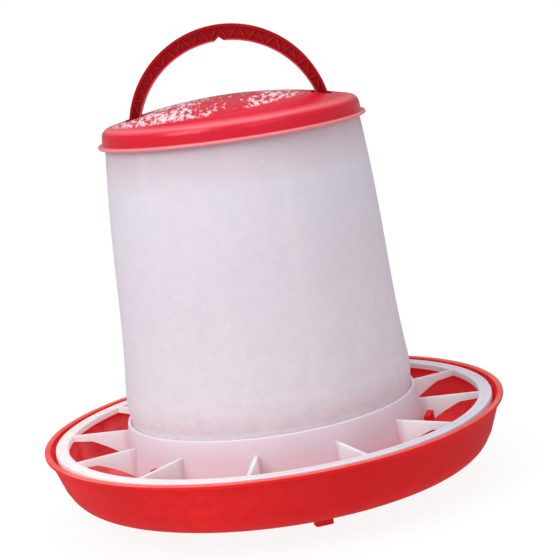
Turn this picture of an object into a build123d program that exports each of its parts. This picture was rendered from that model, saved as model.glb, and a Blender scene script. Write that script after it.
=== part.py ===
from build123d import *
import math
import os

# Gravity feeder for poultry.  A hopper barrel stands in the collar of a guard grille, and the grille
# locks into a round feed dish with a short twist.  A lid with a carry handle closes the hopper.
# Lengths are in millimetres and angles in degrees.  +Z is up, and the origin is on the ground under
# the middle of the dish.  The handle hinges about X, and -Y is the front.

FIT_GAP = 0.3  # clearance between pieces that come apart

# Feed dish.  Pairs are (radius, height) unless they say otherwise.
RIM_R = 131.5
RIM_Z = 45.4
RIM_WIDTH = 3.4
RIM_THICKNESS = 2.4
RIM_ROUNDING = 0.8
DISH_WALL = 1.8
BAND_TOP = (129.2, 43.4)
BAND_BOTTOM = (123.2, 25.0)
BAND_STEP = 0.5  # the bowl starts this far inside the straight band above it
BOWL_KNEE = (111.3, 13.4)
BASE_OUTER_R = 85.0
BASE_INNER_R = 72.0
SPREADER_Z = 26.0
SPREADER_TIP = (12.0, 1.6)  # radius of the rounded tip and how far it rises
FOOT_HEIGHT = 5.0
FOOT_R = 76.5
FOOT_SIZE = (7.0, 10.0)  # radial, tangential
FOOT_ROUNDING = 1.5

# Twist lock between the dish and the grille
LOCK_COUNT = 3
LOCK_ANGLE = -14.5
HOOK_INNER_R = 87.8
HOOK_OUTER_R = 91.7
HOOK_WIDTH = 11.4
HOOK_TOP_Z = 39.4
HOOK_ROUNDING = 1.0
LUG_R = 89.6
LUG_WIDTH = 9.6
LUG_Z = (31.0, 34.0)  # bottom, top

# Guard grille
GRILLE_TOP_Z = 45.0
GRILLE_WALL = 1.8
RING_OUTER_R = 125.2
RING_INNER_R = 118.0
RING_DEPTH = 3.3
RING_ROUNDING = 0.6
GROOVE_R = 122.0
GROOVE_SIZE = (1.2, 0.3)  # width, depth
COLLAR_TOP = (82.4, 54.0)
COLLAR_BOTTOM = (86.4, 28.4)
COLLAR_ROUNDING = 0.6
SEAT_INNER_R = 77.6
SEAT_Z = (41.2, 43.0)  # bottom, top
FIN_COUNT = 12
FIN_ANGLE = -6.7
FIN_THICKNESS = 2.0
FIN_KNEE = (107.0, 40.8)
FIN_BOW = 0.8

# Hopper barrel
BARREL_WALL = 1.8
BARREL_TOP = (70.45, 216.4)
BARREL_MIDDLE = (75.9, 148.0)
BARREL_FOOT = (80.2, 78.0)
BARREL_BEAD = (81.2, 66.0)
BARREL_WAIST = (80.3, 56.5)
SPIGOT_TOP = (80.0, 53.5)
SPIGOT_BOTTOM = (79.6, 43.3)

# Lid
LID_WALL = 1.2
LID_LIP_R = 75.0
LID_LIP_THICKNESS = 1.8
LID_LIP_ROUNDING = 0.8
LID_BOTTOM = (72.8, 209.4)
LID_SKIRT_TOP = (72.1, 215.8)
LID_SHOULDER = (67.3, 220.3)
LID_CROWN_Z = 229.0

# Carry handle and its hinge under the lid
HANDLE_OUTER = (56.7, 211.5)  # radius of the arc and height of its centre
HANDLE_INNER = (51.4, 207.8)
HANDLE_DEPTH = 8.0
HANDLE_FLANGE = 1.5
HANDLE_WEB = 2.2
RIB_THICKNESS = 1.0
RIB_HEIGHT = 1.4  # above each face of the web
RIB_COUNT = 26
RIB_ARC = (17.0, 163.0)  # first and last rib ends, from +X round to -X
NOTCH_SIZE = (5.0, 2.2)  # width, depth
HINGE_Z = 217.0
HANDLE_SWING = 35.0
PIN_R = 2.0
PIN_CLEARANCE = 0.05
PIN_SPAN = (44.4, 60.0)
BOSS_R = 3.6
BOSS_SPAN = (46.8, 57.0)
SLOT_SPAN = (46.4, 57.4)
CHEEK_THICKNESS = 2.0
CHEEK_LENGTH = 12.0
CHEEK_BOTTOM_Z = 212.5


def turned(section):
    """Solid of revolution about the vertical axis, from a face drawn in (radius, height)."""
    return revolve(Plane.XZ * section, Axis.Z)


def outline(*points):
    """Face with straight sides through the given (radius, height) points."""
    return make_face(Polyline(*points, close=True))


def wall_of(path, thickness, side):
    """Section of a wall of even thickness on one side of an open path."""
    return make_face(offset(path, thickness, side=side, closed=True))


def rounded_ring(inner, outer, bottom, top, rounding):
    """Ring whose section is a rectangle with round corners."""
    section = RectangleRounded(outer - inner, top - bottom, rounding)
    return turned(Pos((inner + outer) / 2, (bottom + top) / 2) * section)


def around(shape, count, start):
    """Copies of a shape, evenly spaced about the vertical axis."""
    return [Rot(0, 0, start + index * 360 / count) * shape for index in range(count)]


def block(x_span, y_span, z_span):
    """Box between the given limits."""
    spans = (x_span, y_span, z_span)
    size = [high - low for low, high in spans]
    centre = [(high + low) / 2 for low, high in spans]
    return Pos(*centre) * Box(*size)


def rod_x(radius, x_span, z):
    """Cylinder along X at the given height."""
    length = x_span[1] - x_span[0]
    return Pos((x_span[0] + x_span[1]) / 2, 0, z) * Rot(0, 90, 0) * Cylinder(radius, length)


def radius_between(z, low, high):
    """Radius at height z on the straight line through two (radius, height) points."""
    return low[0] + (high[0] - low[0]) * (z - low[1]) / (high[1] - low[1])


# ---------------------------------------------------------------- feed dish


def bowl_slope():
    """Rise of the dish floor per millimetre of radius, outside the flat base."""
    return (BOWL_KNEE[1] - FOOT_HEIGHT) / (BOWL_KNEE[0] - BASE_OUTER_R)


def dish_shell():
    """Thin wall of the dish: a band under the rim, a bowl, a flat base and a cone that spreads feed."""
    bowl_top = (BAND_BOTTOM[0] - BAND_STEP, BAND_BOTTOM[1])
    tip_z = SPREADER_Z - DISH_WALL
    cone_top = (SPREADER_TIP[0], tip_z - SPREADER_TIP[1])
    band = Line(BAND_TOP, bowl_top)
    bowl = TangentArc(BOWL_KNEE, bowl_top, tangent=(1, bowl_slope()))
    base = Polyline(BOWL_KNEE, (BASE_OUTER_R, FOOT_HEIGHT), (BASE_INNER_R, FOOT_HEIGHT), cone_top)
    tip = TangentArc((0, tip_z), cone_top, tangent=(1, 0))
    underside = Wire([*band.edges(), *bowl.edges(), *base.edges(), *tip.edges()])
    band_skin = outline(
        bowl_top,
        BAND_BOTTOM,
        (BAND_TOP[0] + BAND_STEP, BAND_TOP[1]),
        (BAND_TOP[0] - DISH_WALL / 2, BAND_TOP[1]),
        (bowl_top[0] - DISH_WALL / 2, BAND_BOTTOM[1]),
    )
    return turned(wall_of(underside, DISH_WALL, Side.RIGHT)) + turned(band_skin)


def lock_hook():
    """Hook on the dish floor at +X; a lug of the grille turns in under its nose from the +Y side."""
    half_width = HOOK_WIDTH / 2
    corner_r = math.hypot(HOOK_OUTER_R, half_width)
    foot_z = FOOT_HEIGHT + bowl_slope() * (corner_r - BASE_OUTER_R)
    post = block((HOOK_INNER_R, HOOK_OUTER_R), (-half_width, half_width), (foot_z, HOOK_TOP_Z))
    post = fillet(post.edges().group_by(Axis.Z)[-1], HOOK_ROUNDING)
    gate = block(
        (HOOK_INNER_R - FIT_GAP, math.hypot(LUG_R, LUG_WIDTH / 2) + FIT_GAP),
        (-LUG_WIDTH / 2 - FIT_GAP, half_width + FIT_GAP),
        (LUG_Z[0] - FIT_GAP, LUG_Z[1] + FIT_GAP),
    )
    return post - gate


def foot():
    """Foot pad under the flat base, at +X."""
    radial, tangential = (size / 2 for size in FOOT_SIZE)
    top_z = FOOT_HEIGHT + DISH_WALL / 2
    pad = block((FOOT_R - radial, FOOT_R + radial), (-tangential, tangential), (0, top_z))
    return fillet(pad.edges().filter_by(Axis.Z), FOOT_ROUNDING)


def feed_dish():
    """Round dish that catches the feed and carries everything above it."""
    rim = rounded_ring(RIM_R - RIM_WIDTH, RIM_R, RIM_Z - RIM_THICKNESS, RIM_Z, RIM_ROUNDING)
    hooks = around(lock_hook(), LOCK_COUNT, LOCK_ANGLE)
    feet = around(foot(), LOCK_COUNT, LOCK_ANGLE + 180 / LOCK_COUNT)
    return dish_shell() + rim + hooks + feet


# ---------------------------------------------------------------- guard grille


def grille_ring():
    """Outer ring: a channel that is open below, with a fine groove round its top."""
    top = GRILLE_TOP_Z
    plate_z = top - GRILLE_WALL
    groove_half = GROOVE_SIZE[0] / 2
    section = outline(
        (RING_INNER_R, top - RING_DEPTH),
        (RING_INNER_R + GRILLE_WALL, top - RING_DEPTH),
        (RING_INNER_R + GRILLE_WALL, plate_z),
        (RING_OUTER_R - GRILLE_WALL, plate_z),
        (RING_OUTER_R - GRILLE_WALL, top - RING_DEPTH),
        (RING_OUTER_R, top - RING_DEPTH),
        (RING_OUTER_R, top),
        (GROOVE_R + groove_half, top),
        (GROOVE_R + groove_half, top - GROOVE_SIZE[1]),
        (GROOVE_R - groove_half, top - GROOVE_SIZE[1]),
        (GROOVE_R - groove_half, top),
        (RING_INNER_R, top),
    )
    top_corners = section.vertices().group_by(Axis.Y)[-1].sort_by(Axis.X)
    return turned(fillet([top_corners[0], top_corners[-1]], RING_ROUNDING))


def collar():
    """Cone-shaped collar that the barrel stands in, with the inner seat for the barrel's foot."""
    wall = outline(
        COLLAR_BOTTOM,
        COLLAR_TOP,
        (COLLAR_TOP[0] - GRILLE_WALL, COLLAR_TOP[1]),
        (COLLAR_BOTTOM[0] - GRILLE_WALL, COLLAR_BOTTOM[1]),
    )
    wall = fillet(wall.vertices().group_by(Axis.Y)[-1], COLLAR_ROUNDING)
    wall_middle_r = radius_between(SEAT_Z[1], COLLAR_BOTTOM, COLLAR_TOP) - GRILLE_WALL / 2
    seat = outline(
        (SEAT_INNER_R, SEAT_Z[0]),
        (wall_middle_r, SEAT_Z[0]),
        (wall_middle_r, SEAT_Z[1]),
        (SEAT_INNER_R, SEAT_Z[1]),
    )
    return turned(wall) + turned(seat)


def fin():
    """Radial plate from the collar to the ring, at +X.  Its lower edge rises towards the ring."""
    top_start = (radius_between(GRILLE_TOP_Z, COLLAR_BOTTOM, COLLAR_TOP) - GRILLE_WALL / 2, GRILLE_TOP_Z)
    bottom_start = (COLLAR_BOTTOM[0] - GRILLE_WALL / 2, COLLAR_BOTTOM[1])
    outer_r = RING_INNER_R + GRILLE_WALL / 2
    outer_z = GRILLE_TOP_Z - RING_DEPTH
    edges = Polyline(bottom_start, top_start, (outer_r, GRILLE_TOP_Z), (outer_r, outer_z), FIN_KNEE)
    plate = make_face([*edges.edges(), SagittaArc(FIN_KNEE, bottom_start, -FIN_BOW)])
    return extrude(Plane.XZ * plate, FIN_THICKNESS / 2, both=True)


def lock_lug():
    """Lug on the outside of the collar at +X, which turns in under a hook of the dish."""
    root_r = radius_between(LUG_Z[1], COLLAR_BOTTOM, COLLAR_TOP) - GRILLE_WALL / 2
    return block((root_r, LUG_R), (-LUG_WIDTH / 2, LUG_WIDTH / 2), LUG_Z)


def guard_grille():
    """Grille that keeps birds out of the dish: ring, fins and collar in one moulding."""
    fins = around(fin(), FIN_COUNT, FIN_ANGLE)
    lugs = around(lock_lug(), LOCK_COUNT, LOCK_ANGLE)
    return collar() + grille_ring() + fins + lugs


# ---------------------------------------------------------------- hopper barrel


def barrel_side(inset):
    """The barrel's side in (radius, height), the given distance inside its outer face."""
    body = [(r - inset, z) for r, z in (BARREL_TOP, BARREL_MIDDLE, BARREL_FOOT, BARREL_BEAD, BARREL_WAIST)]
    spigot = [(r - inset, z) for r, z in (BARREL_WAIST, SPIGOT_TOP, SPIGOT_BOTTOM)]
    return Spline(*body), Polyline(*spigot)


def hopper_barrel():
    """Open barrel, a little wider at its foot, with a soft bead above the spigot."""
    sides = [*barrel_side(0), *barrel_side(BARREL_WALL)]
    ends = [Line((r - BARREL_WALL, z), (r, z)) for r, z in (BARREL_TOP, SPIGOT_BOTTOM)]
    return turned(make_face([edge for part in (*sides, *ends) for edge in part.edges()]))


# ---------------------------------------------------------------- lid


def dome_z(radius):
    """Height of the lid's domed top at the given radius."""
    rise = LID_CROWN_Z - LID_SHOULDER[1]
    sphere_r = (LID_SHOULDER[0] ** 2 + rise**2) / (2 * rise)
    return LID_CROWN_Z - sphere_r + math.sqrt(sphere_r**2 - radius**2)


def lid_shell():
    """Skirt, rounded shoulder and shallow dome, with a lip round the bottom edge."""
    skirt = Line(LID_BOTTOM, LID_SKIRT_TOP)
    shoulder = TangentArc(LID_SKIRT_TOP, LID_SHOULDER, tangent=skirt % 1)
    dome = TangentArc((0, LID_CROWN_Z), LID_SHOULDER, tangent=(1, 0))
    outside = Wire([*skirt.edges(), *shoulder.edges(), *dome.edges()])
    shell = turned(wall_of(outside, LID_WALL, Side.LEFT))
    lip_inner_r = LID_BOTTOM[0] - LID_WALL
    lip_top_z = LID_BOTTOM[1] + LID_LIP_THICKNESS
    return shell + rounded_ring(lip_inner_r, LID_LIP_R, LID_BOTTOM[1], lip_top_z, LID_LIP_ROUNDING)


def hinge_cheek(x_span):
    """Plate under the lid with a bore for one end of a handle pin."""
    half_length = CHEEK_LENGTH / 2
    top_z = dome_z(math.hypot(x_span[1], half_length)) - LID_WALL / 2
    plate = block(x_span, (-half_length, half_length), (CHEEK_BOTTOM_Z, top_z))
    return plate - rod_x(PIN_R + PIN_CLEARANCE, (x_span[0] - FIT_GAP, x_span[1] + FIT_GAP), HINGE_Z)


def handle_slot():
    """Hole in the lid that one leg of the handle swings in."""
    swing = math.radians(HANDLE_SWING)
    reach = dome_z(SLOT_SPAN[0]) - HINGE_Z
    half_length = reach * math.tan(swing) + HANDLE_DEPTH / 2 / math.cos(swing) + FIT_GAP
    return block(SLOT_SPAN, (-half_length, half_length), (CHEEK_BOTTOM_Z, LID_CROWN_Z))


def lid():
    """Lid that lifts off the barrel, with two slots and two pairs of hinge cheeks for the handle."""
    inner_cheek = hinge_cheek((SLOT_SPAN[0] - CHEEK_THICKNESS, SLOT_SPAN[0]))
    outer_cheek = hinge_cheek((SLOT_SPAN[1], SLOT_SPAN[1] + CHEEK_THICKNESS))
    slots = around(handle_slot(), 2, 0)
    return lid_shell() - slots + around(inner_cheek, 2, 0) + around(outer_cheek, 2, 0)


# ---------------------------------------------------------------- carry handle


def arc_half_width(arc, z):
    """Half the width at height z of a circle given as (radius, height of centre)."""
    return math.sqrt(arc[0] ** 2 - (z - arc[1]) ** 2)


def inner_crown_z_at(x):
    """Height of the bail's inner arc at the given distance from its middle."""
    return HANDLE_INNER[1] + math.sqrt(HANDLE_INNER[0] ** 2 - x**2)


def handle_outline():
    """Face of the bail between its outer and inner arcs, with the hanging notch cut in its crown."""
    end_z = HINGE_Z - BOSS_R
    outer_x = arc_half_width(HANDLE_OUTER, end_z)
    inner_x = arc_half_width(HANDLE_INNER, end_z)
    outer_arc = ThreePointArc((outer_x, end_z), (0, sum(HANDLE_OUTER)), (-outer_x, end_z))
    inner_arc = ThreePointArc((inner_x, end_z), (0, sum(HANDLE_INNER)), (-inner_x, end_z))
    ends = [Line((side * inner_x, end_z), (side * outer_x, end_z)) for side in (-1, 1)]
    half_width, depth = NOTCH_SIZE[0] / 2, NOTCH_SIZE[1]
    crown_z = sum(HANDLE_INNER)
    notch_z = inner_crown_z_at(half_width)
    notch = outline(
        (-half_width, notch_z),
        (0, crown_z + depth),
        (half_width, notch_z),
        (0, notch_z - depth),
    )
    return make_face([outer_arc, inner_arc, *ends]) - notch


def rib_faces():
    """Zigzag of thin bars between the handle's inner and outer arcs."""
    step = (RIB_ARC[1] - RIB_ARC[0]) / RIB_COUNT
    corners = []
    for index in range(RIB_COUNT + 1):
        radius, centre_z = (HANDLE_INNER, HANDLE_OUTER)[index % 2]
        angle = math.radians(RIB_ARC[0] + index * step)
        corners.append((radius * math.cos(angle), centre_z + radius * math.sin(angle)))
    bars = []
    for start, end in zip(corners, corners[1:]):
        middle = ((start[0] + end[0]) / 2, (start[1] + end[1]) / 2)
        direction = math.degrees(math.atan2(end[1] - start[1], end[0] - start[0]))
        bars.append(Pos(*middle) * Rot(0, 0, direction) * Rectangle(math.dist(start, end), RIB_THICKNESS))
    return bars


def centred_plate(face, thickness):
    """Plate of the given thickness with its middle on the handle's own plane."""
    return extrude(Plane.XZ * face, thickness / 2, both=True)


def carry_handle():
    """Bail handle of I-shaped section, with zigzag ribs on both faces of its web and two hinge pins."""
    face = handle_outline()
    flanges = centred_plate(face - offset(face, -HANDLE_FLANGE), HANDLE_DEPTH)
    web = centred_plate(face, HANDLE_WEB)
    ribs = [centred_plate(bar & face, HANDLE_WEB + 2 * RIB_HEIGHT) for bar in rib_faces()]
    hinges = around(rod_x(BOSS_R, BOSS_SPAN, HINGE_Z) + rod_x(PIN_R, PIN_SPAN, HINGE_Z), 2, 0)
    return web + flanges + ribs + hinges


os.makedirs("parts", exist_ok=True)
for build in (feed_dish, guard_grille, hopper_barrel, lid, carry_handle):
    export_step(build(), f"parts/{build.__name__}.step")
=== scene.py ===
import math

import bpy
from mathutils import Matrix, Vector

# A hanging poultry feeder of five plastic mouldings, seen from the front with the camera tipped a
# little, on a plain pale floor.  Lengths are in metres, angles in degrees, and X runs to the right,
# Y to the back and Z up from the ground.

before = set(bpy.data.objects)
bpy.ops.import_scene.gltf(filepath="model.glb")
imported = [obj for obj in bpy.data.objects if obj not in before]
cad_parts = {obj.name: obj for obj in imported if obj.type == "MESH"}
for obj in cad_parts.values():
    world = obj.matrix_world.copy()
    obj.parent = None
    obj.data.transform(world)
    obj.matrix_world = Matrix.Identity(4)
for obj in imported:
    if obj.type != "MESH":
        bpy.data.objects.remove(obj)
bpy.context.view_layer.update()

# ---------------------------------------------------------------- camera

CAMERA_AZIMUTH = 0.6
CAMERA_ELEVATION = 9.95
CAMERA_ROLL = 8.08
CAMERA_LENS = 112.1  # in millimetres
CAMERA_PLACE = (-0.0023, 0.1207, 1.007)  # right, up and back along the camera's own axes

# ---------------------------------------------------------------- places where the look changes


def top(node):
    """Height of the highest point of a CAD node."""
    return max(vertex.co.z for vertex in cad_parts[node].data.vertices)


DISH_TOP = top("feed_dish")
COLLAR_TOP = top("guard_grille")
BARREL_TOP = top("hopper_barrel")
LID_TOP = top("lid")
HANDLE_TOP = top("carry_handle")

# Each pair says where a look begins to turn into the next one, and where it has done so
# Painted light: the dish's up-facing inside turns pale below this height, most on its left
DISH_PAINTED_LIGHT_END = (DISH_TOP - 0.0124, DISH_TOP - 0.0074)  # Z
DISH_PAINTED_LIGHT_FADE = (-0.03, 0.06)  # X
# Painted highlight along the top of the dish's rim
DISH_RIM = (DISH_TOP - 0.0008, DISH_TOP - 0.0002)  # Z

COLLAR_TO_FINS = (0.0872, 0.089)  # distance from the feeder's axis
FINS_TO_RING = (0.100, 0.118)  # distance from the feeder's axis
# Painted light on the ring's left and painted shade on its front right, between these places
RING_LEFT = (-0.09, -0.01)  # X
RING_RIGHT = (0.04, 0.10)  # X
RING_BACK = (0.0, 0.06)  # Y

# Painted light on the barrel just above its seam, against the shade there
SEAM_PAINTED_LIGHT = (COLLAR_TOP + 0.004, COLLAR_TOP + 0.024)  # Z
BARREL_FOOT = (COLLAR_TOP + 0.016, COLLAR_TOP + 0.106)  # Z
BARREL_SHADE = (BARREL_TOP - 0.0314, BARREL_TOP - 0.0044)  # Z

# Painted highlight: the lid's lip turns pale below these heights
LID_LIP = (LID_TOP - 0.0180, LID_TOP - 0.0174)  # Z
# Painted highlight: a pale pink band on the lid's shoulder between these heights
LID_SHOULDER_START = (LID_TOP - 0.0112, LID_TOP - 0.0092)  # Z
LID_SHOULDER_END = (LID_TOP - 0.0092, LID_TOP - 0.0076)  # Z
# Painted reflection: pale flecks on the front of the dome, above these heights
LID_DOME = (LID_TOP - 0.0057, LID_TOP - 0.0048)  # Z
LID_DOME_CLIMB = 0.045  # how much higher the flecks begin towards the right, per metre
LID_FRONT = (0.004, 0.022)  # Y

HANDLE_WEB = (0.0014, 0.0020)  # these four are distances from the middle of the handle's depth
RIB_FACE_START = (0.0020, 0.0024)
RIB_FACE_END = (0.0026, 0.0030)
HANDLE_FLANGE = (0.0030, 0.0034)
HANDLE_INNER_CENTRE = (0.0, 0.0, HANDLE_TOP - 0.0604)
# Painted highlight along the handle's inner edge, within this distance
HANDLE_INNER_EDGE = (0.0519, 0.0523)  # distance from that centre
HANDLE_FOOT = (0.050, 0.002, LID_TOP - 0.007)
HANDLE_FOOT_CLEAR = (0.008, 0.011)  # distance from the handle's foot

FLOOR_SHADOW = (0.1, 0.35)  # distance from the feeder's axis

# Where the pale flecks of painted reflection gather on the lid: a stretch along X, and how thick they
# lie along it
PAINTED_REFLECTION_STRETCH = (-0.040, 0.110)
PAINTED_REFLECTION_PATCHES = (
    (0.0, 1.0),
    (0.34, 1.0),
    (0.40, 0.0),
    (0.50, 0.0),
    (0.55, 1.0),
    (0.68, 1.0),
    (0.72, 0.0),
    (0.80, 0.0),
    (0.83, 1.0),
    (0.92, 1.0),
    (0.96, 0.0),
)

# ---------------------------------------------------------------- colours and finish

DISH_RED = (0.92, 0.026, 0.030)
DISH_DEEP_RED = (0.74, 0.012, 0.017)
# Painted light inside the dish
DISH_PAINTED_LIGHT = (1.0, 0.27, 0.30)
# Painted highlight on the dish's rim
DISH_RIM_PAINTED_HIGHLIGHT = (0.92, 0.50, 0.46)

LID_RED = (0.60, 0.014, 0.036)
LID_DEEP_RED = (0.50, 0.008, 0.022)
# Painted highlight on the lid's shoulder
LID_SHOULDER_PAINTED_HIGHLIGHT = (0.90, 0.34, 0.40)
# Painted highlight on the lid's lip
LID_LIP_PAINTED_HIGHLIGHT = (0.84, 0.42, 0.44)
# Painted reflection on the lid's dome
LID_PAINTED_REFLECTION = (0.86, 0.70, 0.78)

# Painted light: the web is a lighter red than the flanges, against the shade in the handle's recess
HANDLE_WEB_PAINTED_LIGHT_RED = (0.42, 0.001, 0.007)
HANDLE_FLANGE_RED = (0.34, 0.001, 0.006)
# Painted highlight on the handle's ribs
HANDLE_RIB_PAINTED_HIGHLIGHT = (0.85, 0.03, 0.04)
HANDLE_DARK_RED = (0.30, 0.0, 0.004)
# Painted highlight on the handle's inner edge
HANDLE_EDGE_PAINTED_HIGHLIGHT = (0.80, 0.22, 0.26)
HANDLE_GLOW = (0.95, 0.03, 0.04)

RING_WHITE = (0.87, 0.88, 0.90)
RING_SHADED = (0.82, 0.84, 0.88)
# Painted light on the ring's left, and painted shade on its front right
RING_PAINTED_LIGHT = (0.98, 0.99, 0.98)
RING_PAINTED_SHADE = (0.72, 0.78, 0.87)
# Painted light: the white collar tinted pink as by red light from the dish around it
COLLAR_PAINTED_RED_LIGHT = (0.91, 0.84, 0.90)
FIN_WHITE = (0.92, 0.98, 1.0)

MILK = (0.85, 0.80, 0.87)
MILK_CLOUD = (0.82, 0.79, 0.85)
MILK_FOOT = (0.86, 0.85, 0.90)
# Painted light at the barrel's seam
MILK_SEAM_PAINTED_LIGHT = (0.93, 0.93, 0.98)
# Painted shadow, pink, under the lid
MILK_SHADE = (0.70, 0.50, 0.56)
# Painted highlight streaks on the barrel
MILK_PAINTED_HIGHLIGHT_STREAK = (0.94, 0.91, 0.94)
MILK_MOTTLE = (0.74, 0.71, 0.77)
MILK_SPECK = (1.0, 0.98, 1.0)

PLASTIC_IOR = 1.48
FLOOR_GREY = (0.85, 0.85, 0.85)
FLOOR_IN_REFLECTIONS = 0.35
WHITE = (1.0, 1.0, 1.0)
SKY_WHITE = (0.97, 0.98, 1.0)
SKY_LIGHT = 0.68
SKY_IN_REFLECTIONS = 0.25
SKY_TO_CAMERA = 1.0

RISING = (0.0, 1.0)
FALLING = (1.0, 0.0)

# ---------------------------------------------------------------- material building blocks

# Sockets of Blender's Mix node when it mixes colours
MIX_FACTOR, MIX_FIRST, MIX_SECOND, MIX_RESULT = 0, 6, 7, 2


class Nodes:
    """Adds and links the nodes of one material."""

    def __init__(self, name):
        self.material = bpy.data.materials.new(name)
        self.material.use_nodes = True
        self.tree = self.material.node_tree
        self.tree.nodes.clear()
        self.output = self.tree.nodes.new("ShaderNodeOutputMaterial")

    def put(self, socket, value):
        """Link another node's output to a socket, or set its value."""
        if isinstance(value, bpy.types.NodeSocket):
            self.tree.links.new(value, socket)
        elif socket.type == "RGBA":
            socket.default_value = (*value, 1.0)
        else:
            socket.default_value = value

    def add(self, kind, inputs=None, **settings):
        node = self.tree.nodes.new(kind)
        for name, value in settings.items():
            setattr(node, name, value)
        for key, value in (inputs or {}).items():
            self.put(node.inputs[key], value)
        return node

    def position(self):
        """Position in the piece's own frame, so that a look moves along with its piece."""
        return self.add("ShaderNodeTexCoord").outputs["Object"]

    def along(self, axis):
        """Position along one axis."""
        return self.add("ShaderNodeSeparateXYZ", {"Vector": self.position()}).outputs[axis]

    def upward(self):
        """1 on surfaces that face up, 0 on the rest."""
        normal = self.add("ShaderNodeTexCoord").outputs["Normal"]
        lift = self.add("ShaderNodeSeparateXYZ", {"Vector": normal}).outputs["Z"]
        return self.span(lift, (0.0, 0.15))

    def distance(self, centre=(0.0, 0.0, 0.0), axes=(1.0, 1.0, 1.0), vector=None):
        """Distance from a point, counted along the given axes only."""
        inputs = {0: vector or self.position(), 1: centre}
        offset = self.add("ShaderNodeVectorMath", inputs, operation="SUBTRACT").outputs["Vector"]
        counted = self.add("ShaderNodeVectorMath", {0: offset, 1: axes}, operation="MULTIPLY")
        inputs = {0: counted.outputs["Vector"]}
        return self.add("ShaderNodeVectorMath", inputs, operation="LENGTH").outputs["Value"]

    def radius(self):
        """Distance from the feeder's axis."""
        return self.distance(axes=(1.0, 1.0, 0.0))

    def noise(self, scale, detail=4.0, roughness=0.5, vector=None):
        inputs = {
            "Vector": vector or self.position(),
            "Scale": scale,
            "Detail": detail,
            "Roughness": roughness,
        }
        return self.add("ShaderNodeTexNoise", inputs).outputs["Fac"]

    def stretched(self, scale):
        """Position scaled per axis, so that noise runs in streaks."""
        inputs = {"Vector": self.position(), "Scale": scale}
        return self.add("ShaderNodeMapping", inputs).outputs["Vector"]

    def ramp(self, factor, stops):
        """Grey ramp through the given places and levels."""
        node = self.add("ShaderNodeValToRGB", {"Fac": factor})
        elements = node.color_ramp.elements
        while len(elements) < len(stops):
            elements.new(0.5)
        for element, (place, level) in zip(elements, stops):
            element.position = place
            element.color = (level, level, level, 1.0)
        return node.outputs["Color"]

    def span(self, value, source, target=RISING):
        """Carry a value from one range into another, and hold it at the ends."""
        inputs = {
            "Value": value,
            "From Min": source[0],
            "From Max": source[1],
            "To Min": target[0],
            "To Max": target[1],
        }
        return self.add("ShaderNodeMapRange", inputs).outputs["Result"]

    def math(self, operation, *values):
        inputs = dict(enumerate(values))
        return self.add("ShaderNodeMath", inputs, operation=operation).outputs["Value"]

    def plus(self, first, second):
        return self.math("ADD", first, second)

    def times(self, first, second):
        return self.math("MULTIPLY", first, second)

    def mix(self, factor, first, second):
        inputs = {MIX_FACTOR: factor, MIX_FIRST: first, MIX_SECOND: second}
        return self.add("ShaderNodeMix", inputs, data_type="RGBA").outputs[MIX_RESULT]

    def bump(self, height, strength, distance, normal=None):
        inputs = {"Height": height, "Strength": strength, "Distance": distance}
        if normal:
            inputs["Normal"] = normal
        return self.add("ShaderNodeBump", inputs).outputs["Normal"]

    def blend(self, factor, first, second):
        """Mix two shaders."""
        inputs = {"Fac": factor, 1: first, 2: second}
        return self.add("ShaderNodeMixShader", inputs).outputs["Shader"]

    def finish(self, shader):
        self.tree.links.new(shader, self.output.inputs["Surface"])
        return self.material

    def plastic(self, colour, rough, normal, specular, glow=None, glow_share=0.0):
        """Finish the material as plastic that may let a share of the light through."""
        inputs = {
            "Base Color": colour,
            "Roughness": rough,
            "Normal": normal,
            "IOR": PLASTIC_IOR,
            "Specular IOR Level": specular,
        }
        skin = self.add("ShaderNodeBsdfPrincipled", inputs).outputs["BSDF"]
        if glow is None:
            return self.finish(skin)
        through = self.add("ShaderNodeBsdfTranslucent", {"Color": glow, "Normal": normal})
        return self.finish(self.blend(glow_share, skin, through.outputs["BSDF"]))


def drifting(n, base, dark, fine_share):
    """Base colour that drifts and mottles towards a darker one."""
    drift = n.noise(9.0, detail=3.0)
    fine = n.noise(160.0, detail=5.0, roughness=0.6)
    colour = n.mix(n.span(drift, (0.35, 0.7)), base, dark)
    return n.mix(n.span(fine, (0.35, 0.7), (0.0, fine_share)), colour, dark)


# ---------------------------------------------------------------- the five plastics


def dish_plastic():
    """Red dish: slightly see-through, with painted light on its up-facing inside, most on the left,
    and a painted pale highlight on its rim.
    """
    n = Nodes("dish_red")
    height = n.along("Z")
    colour = drifting(n, DISH_RED, DISH_DEEP_RED, fine_share=0.6)
    # Painted light: up-facing surfaces inside the dish turn pale in patches, most on the left
    inside = n.times(n.upward(), n.span(height, DISH_PAINTED_LIGHT_END, FALLING))
    painted_light = n.span(n.noise(45.0, detail=5.0, roughness=0.65), (0.40, 0.64), (0.30, 1.0))
    painted_light = n.times(painted_light, n.span(n.along("X"), DISH_PAINTED_LIGHT_FADE, (1.0, 0.4)))
    colour = n.mix(n.times(inside, painted_light), colour, DISH_PAINTED_LIGHT)
    # Painted highlight: the top of the rim turns pale in patches
    patchy_highlight = n.span(n.noise(30.0), (0.35, 0.65), (0.3, 0.6))
    colour = n.mix(n.times(n.span(height, DISH_RIM), patchy_highlight), colour, DISH_RIM_PAINTED_HIGHLIGHT)
    scuff = n.noise(60.0, detail=8.0, roughness=0.7, vector=n.stretched((1.0, 1.0, 6.0)))
    rough = n.span(scuff, (0.35, 0.75), (0.32, 0.46))
    normal = n.bump(n.noise(50.0, detail=3.0), strength=0.1, distance=0.002)
    normal = n.bump(n.noise(900.0, detail=3.0), strength=0.12, distance=0.00008, normal=normal)
    return n.plastic(colour, rough, normal, specular=0.3, glow=colour, glow_share=0.5)


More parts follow.
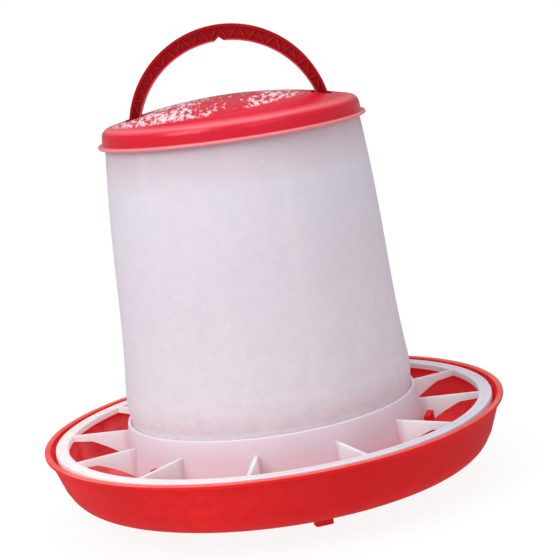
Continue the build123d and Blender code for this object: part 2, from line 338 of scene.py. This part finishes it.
def lid_painted_reflections(n, grain):
    """How thick the pale flecks of painted reflection lie: patches on the front of the lid, clear of
    the handle's feet.
    """
    across = n.plus(n.times(n.noise(30.0, detail=2.0), 0.05), n.along("X"))
    patches = n.ramp(n.span(across, PAINTED_REFLECTION_STRETCH), PAINTED_REFLECTION_PATCHES)
    painted_reflection = n.span(n.plus(grain, n.times(patches, 0.12)), (0.58, 0.67))
    mirrored = n.add("ShaderNodeVectorMath", {0: n.position()}, operation="ABSOLUTE")
    near_foot = n.distance(HANDLE_FOOT, vector=mirrored.outputs["Vector"])
    painted_reflection = n.times(painted_reflection, n.span(n.along("Y"), LID_FRONT, FALLING))
    return n.times(painted_reflection, n.span(near_foot, HANDLE_FOOT_CLEAR))


def lid_plastic():
    """Glossy red lid with a painted highlight on its lip and on its shoulder, and pale flecks of
    painted reflection on its dome.
    """
    n = Nodes("lid_red")
    height = n.along("Z")
    colour = drifting(n, LID_RED, LID_DEEP_RED, fine_share=0.3)
    # Painted highlight: a pale pink band along the shoulder
    shoulder_highlight = n.span(height, LID_SHOULDER_START)
    shoulder_highlight = n.times(shoulder_highlight, n.span(height, LID_SHOULDER_END, FALLING))
    colour = n.mix(n.times(shoulder_highlight, 0.28), colour, LID_SHOULDER_PAINTED_HIGHLIGHT)
    # Painted highlight along the lip
    colour = n.mix(n.span(height, LID_LIP, (0.45, 0.0)), colour, LID_LIP_PAINTED_HIGHLIGHT)

    climbing = n.plus(height, n.times(n.along("X"), -LID_DOME_CLIMB))
    dome = n.span(climbing, LID_DOME)
    grain = n.noise(430.0, detail=6.0, roughness=0.7, vector=n.stretched((1.0, 0.25, 1.0)))
    # Painted reflection: pale flecks on the front of the dome
    painted_reflection = n.times(lid_painted_reflections(n, grain), dome)
    colour = n.mix(n.times(painted_reflection, 0.85), colour, LID_PAINTED_REFLECTION)

    rough = n.span(n.noise(80.0, detail=6.0), (0.35, 0.75), (0.2, 0.3))
    normal = n.bump(n.times(grain, dome), strength=0.5, distance=0.002)
    return n.plastic(colour, rough, normal, specular=0.3)


def handle_plastic():
    """Deep red handle: a web painted lighter than its darker flanges against the shade in its recess,
    painted highlights on its ribs, and a painted pale highlight on its inner edge.
    """
    n = Nodes("handle_red")
    outward = n.math("ABSOLUTE", n.along("Y"))
    # Painted light: the web is lighter than the flanges, against the shade in the recess
    colour = n.mix(n.span(outward, HANDLE_WEB), HANDLE_WEB_PAINTED_LIGHT_RED, HANDLE_FLANGE_RED)
    # Painted highlight on the rib faces
    rib_highlight = n.times(n.span(outward, RIB_FACE_START), n.span(outward, RIB_FACE_END, FALLING))
    colour = n.mix(n.times(rib_highlight, 0.22), colour, HANDLE_RIB_PAINTED_HIGHLIGHT)
    colour = n.mix(n.span(n.noise(60.0), (0.35, 0.7), (0.0, 0.4)), colour, HANDLE_DARK_RED)
    # Painted highlight: the inner edge of the flanges turns pale in patches
    inner = n.distance(HANDLE_INNER_CENTRE, axes=(1.0, 0.0, 1.0))
    edge = n.times(n.span(inner, HANDLE_INNER_EDGE, FALLING), n.span(outward, HANDLE_FLANGE))
    patchy_highlight = n.span(n.noise(120.0), (0.35, 0.65), (0.35, 0.7))
    colour = n.mix(n.times(edge, patchy_highlight), colour, HANDLE_EDGE_PAINTED_HIGHLIGHT)
    rough = n.span(n.noise(90.0, detail=6.0), (0.35, 0.75), (0.28, 0.42))
    normal = n.bump(n.noise(70.0, detail=3.0), strength=0.1, distance=0.0001)
    return n.plastic(colour, rough, normal, specular=0.25, glow=HANDLE_GLOW, glow_share=0.3)


def white_plastic():
    """White grille: a collar tinted pink by painted red light, cool fins, and a ring with painted
    light on its left and painted shade on its front right.
    """
    n = Nodes("grille_white")
    side = n.along("X")
    ring = n.mix(n.span(n.noise(14.0), (0.35, 0.7)), RING_WHITE, RING_SHADED)
    # Painted light on the ring's left
    ring = n.mix(n.span(side, RING_LEFT, (0.9, 0.0)), ring, RING_PAINTED_LIGHT)
    # Painted shade on the ring's front right, patchy
    painted_shade = n.times(n.span(side, RING_RIGHT, (0.0, 0.7)), n.span(n.along("Y"), RING_BACK, FALLING))
    painted_shade = n.times(painted_shade, n.span(n.noise(45.0, detail=5.0), (0.35, 0.65), (0.4, 1.0)))
    ring = n.mix(painted_shade, ring, RING_PAINTED_SHADE)
    radius = n.radius()
    # Painted red light on the collar
    lower = n.mix(n.span(radius, COLLAR_TO_FINS), COLLAR_PAINTED_RED_LIGHT, FIN_WHITE)
    colour = n.mix(n.span(radius, FINS_TO_RING), lower, ring)
    rough = n.span(n.noise(70.0, detail=6.0), (0.3, 0.7), (0.3, 0.45))
    normal = n.bump(n.noise(40.0), strength=0.2, distance=0.0006)
    normal = n.bump(n.noise(700.0), strength=0.1, distance=0.00008, normal=normal)
    return n.plastic(colour, rough, normal, specular=0.4, glow=colour, glow_share=0.45)


def milky_plastic():
    """Milky wall: clouded and faintly mottled, with painted highlight streaks, painted light at its
    seam and a painted pink shadow under the lid.
    """
    n = Nodes("barrel_milky")
    height = n.along("Z")
    cloud = n.noise(16.0)
    colour = n.mix(n.span(cloud, (0.3, 0.7)), MILK, MILK_CLOUD)
    clouded_height = n.plus(height, n.times(cloud, 0.05))
    colour = n.mix(n.span(clouded_height, BARREL_FOOT, FALLING), colour, MILK_FOOT)
    # Painted light above the seam
    colour = n.mix(n.span(height, SEAM_PAINTED_LIGHT, FALLING), colour, MILK_SEAM_PAINTED_LIGHT)
    # Painted pink shadow under the lid
    colour = n.mix(n.span(height, BARREL_SHADE, (0.0, 0.7)), colour, MILK_SHADE)
    # Painted highlight: faint pale vertical streaks
    highlight_streak = n.noise(70.0, detail=3.0, vector=n.stretched((1.0, 1.0, 0.05)))
    colour = n.mix(n.span(highlight_streak, (0.5, 0.75), (0.0, 0.3)), colour, MILK_PAINTED_HIGHLIGHT_STREAK)
    mottle = n.noise(150.0, detail=5.0, roughness=0.65)
    colour = n.mix(n.span(mottle, (0.40, 0.62), (0.0, 0.3)), colour, MILK_MOTTLE)
    specks = n.noise(520.0, detail=2.0)
    colour = n.mix(n.span(specks, (0.67, 0.74), (0.0, 0.5)), colour, MILK_SPECK)
    rough = n.span(n.noise(35.0, detail=6.0), (0.3, 0.7), (0.42, 0.55))
    normal = n.bump(n.noise(22.0, detail=3.0), strength=0.25, distance=0.001)
    normal = n.bump(n.noise(420.0), strength=0.18, distance=0.0001, normal=normal)
    return n.plastic(colour, rough, normal, specular=0.4, glow=colour, glow_share=0.4)


MATERIALS = {
    "feed_dish": dish_plastic(),
    "guard_grille": white_plastic(),
    "hopper_barrel": milky_plastic(),
    "lid": lid_plastic(),
    "carry_handle": handle_plastic(),
}
for node, material in MATERIALS.items():
    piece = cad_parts[node]
    piece.data.materials.clear()
    piece.data.materials.append(material)

# ---------------------------------------------------------------- floor, light and camera

FLOOR_HALF = 12.0
FEEDER_FOOT = (0.0, 0.0, 0.0)
FEEDER_LOW = (0.0, 0.0, 0.1)
SOFTBOXES = (
    # name, place, what it points at, side, power in watts
    ("key", (-1.1, -1.2, 1.4), FEEDER_LOW, 1.2, 24.0),
    ("fill", (0.9, -1.5, 1.3), FEEDER_LOW, 1.0, 3.5),
    ("overhead", (0.0, -0.1, 1.9), FEEDER_FOOT, 1.6, 22.0),
)


def floor_material():
    """Pale floor that takes a faint shadow under the feeder and turns white around it."""
    n = Nodes("studio_floor")
    matt = n.add("ShaderNodeBsdfDiffuse", {"Color": FLOOR_GREY}).outputs["BSDF"]
    mirrored = n.add("ShaderNodeLightPath").outputs["Is Glossy Ray"]
    strength = n.span(mirrored, RISING, (1.0, FLOOR_IN_REFLECTIONS))
    inputs = {"Color": WHITE, "Strength": strength}
    light = n.add("ShaderNodeEmission", inputs).outputs["Emission"]
    away = n.span(n.radius(), FLOOR_SHADOW, (0.9, 1.0))
    return n.finish(n.blend(away, matt, light))


def make_floor():
    mesh = bpy.data.meshes.new("studio_floor")
    signs = ((-1, -1), (1, -1), (1, 1), (-1, 1))
    corners = [(x * FLOOR_HALF, y * FLOOR_HALF, 0) for x, y in signs]
    mesh.from_pydata(corners, [], [(0, 1, 2, 3)])
    floor = bpy.data.objects.new("studio_floor", mesh)
    bpy.context.scene.collection.objects.link(floor)
    mesh.materials.append(floor_material())


def make_world():
    """White where the camera sees it, soft light on the feeder, and dimmer in reflections."""
    world = bpy.data.worlds.new("studio")
    world.use_nodes = True
    tree = world.node_tree
    path = tree.nodes.new("ShaderNodeLightPath")
    background = tree.nodes["Background"]
    background.inputs["Color"].default_value = (*SKY_WHITE, 1.0)
    background.inputs["Strength"].default_value = SKY_LIGHT
    shader = background.outputs["Background"]
    others = (("Is Glossy Ray", SKY_IN_REFLECTIONS), ("Is Camera Ray", SKY_TO_CAMERA))
    for kind, strength in others:
        other = tree.nodes.new("ShaderNodeBackground")
        other.inputs["Color"].default_value = (*WHITE, 1.0)
        other.inputs["Strength"].default_value = strength
        mix = tree.nodes.new("ShaderNodeMixShader")
        tree.links.new(path.outputs[kind], mix.inputs["Fac"])
        tree.links.new(shader, mix.inputs[1])
        tree.links.new(other.outputs["Background"], mix.inputs[2])
        shader = mix.outputs["Shader"]
    tree.links.new(shader, tree.nodes["World Output"].inputs["Surface"])
    bpy.context.scene.world = world


def make_softbox(name, place, aim, side, power):
    light = bpy.data.lights.new(name, "AREA")
    light.shape = "SQUARE"
    light.size = side
    light.energy = power
    lamp = bpy.data.objects.new(name, light)
    lamp.location = place
    lamp.rotation_euler = (Vector(aim) - Vector(place)).to_track_quat("-Z", "Y").to_euler()
    lamp.visible_camera = False
    bpy.context.scene.collection.objects.link(lamp)


def make_camera():
    azimuth = math.radians(CAMERA_AZIMUTH)
    elevation = math.radians(CAMERA_ELEVATION)
    roll = math.radians(CAMERA_ROLL)
    level_back = Vector((math.sin(azimuth), -math.cos(azimuth), 0.0))
    level_right = Vector((math.cos(azimuth), math.sin(azimuth), 0.0))
    back = level_back * math.cos(elevation) + Vector((0.0, 0.0, math.sin(elevation)))
    level_up = back.cross(level_right)
    right = level_right * math.cos(roll) - level_up * math.sin(roll)
    up = level_right * math.sin(roll) + level_up * math.cos(roll)
    turned = Matrix((right, up, back)).transposed()
    data = bpy.data.cameras.new("camera")
    data.lens = CAMERA_LENS
    camera = bpy.data.objects.new("camera", data)
    camera.matrix_world = Matrix.Translation(turned @ Vector(CAMERA_PLACE)) @ turned.to_4x4()
    bpy.context.scene.collection.objects.link(camera)
    bpy.context.scene.camera = camera


make_floor()
make_world()
for softbox in SOFTBOXES:
    make_softbox(*softbox)
make_camera()
bpy.context.scene.view_settings.view_transform = "Standard"
